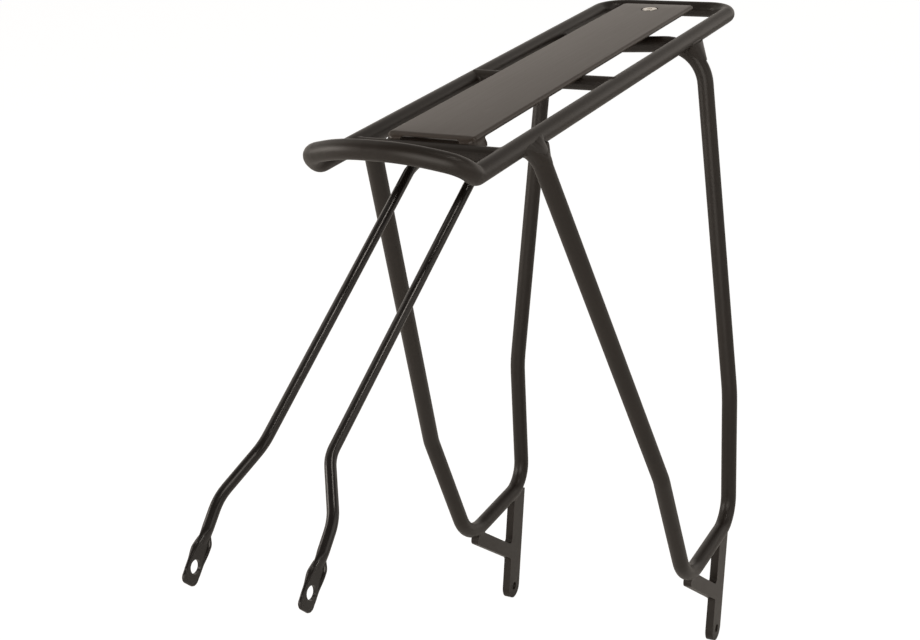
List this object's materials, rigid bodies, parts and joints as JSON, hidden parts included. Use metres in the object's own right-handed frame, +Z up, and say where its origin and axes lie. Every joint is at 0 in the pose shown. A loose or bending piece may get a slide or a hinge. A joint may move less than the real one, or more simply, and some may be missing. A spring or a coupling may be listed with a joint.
{
  "type": "bicycle rear rack",
  "caption": "Bicycle rear rack: level tube deck with a flat top plate and an upturned front, splayed legs down to eyelet brackets, and two swinging front stays.",
  "frame": {"origin": "midpoint between the two dropout eyelets, on their common axis", "axes": "+X forward along the level deck, +Y to the left side of the bicycle, +Z up"},
  "size_m": [0.5484, 0.1626, 0.4155],
  "materials": {
    "frame_black": "satin black powder coat on aluminium rod",
    "plate_grey": "satin dark grey anodised or coated sheet",
    "stay_black": "gloss black coated steel rod",
    "bright_steel": "bright stainless fastener",
    "black_steel": "black oxide fastener"
  },
  "bodies": {
    "frame": {"deck_loop": "frame_black", "front_cross_tube": "frame_black", "middle_cross_tube": "frame_black", "rear_hoop": "frame_black", "front_leg_left": "frame_black", "front_leg_right": "frame_black", "dropout_bracket_left": "frame_black", "dropout_bracket_right": "frame_black", "top_plate": "plate_grey", "rear_tongue": "frame_black", "plate_screw": "bright_steel", "plate_nut": "bright_steel", "stay_lug_left": "frame_black", "stay_lug_right": "frame_black", "pivot_bolt_left": "black_steel", "pivot_bolt_right": "black_steel", "stay_washer_left": "black_steel", "stay_washer_right": "black_steel", "pivot_nut_left": "black_steel", "pivot_nut_right": "black_steel"},
    "stay_left": {"stay_left": "stay_black"},
    "stay_right": {"stay_right": "stay_black"}
  },
  "joints": [
    {"name": "stay_left_swing", "type": "hinge", "parent": "frame", "child": "stay_left", "pos_m": [0.1892, 0.01625, 0.3777], "axis": [0, -1, 0], "range_deg": [-50, 31]},
    {"name": "stay_right_swing", "type": "hinge", "parent": "frame", "child": "stay_right", "pos_m": [0.1892, -0.01625, 0.3777], "axis": [0, -1, 0], "range_deg": [-50, 31]}
  ]
}
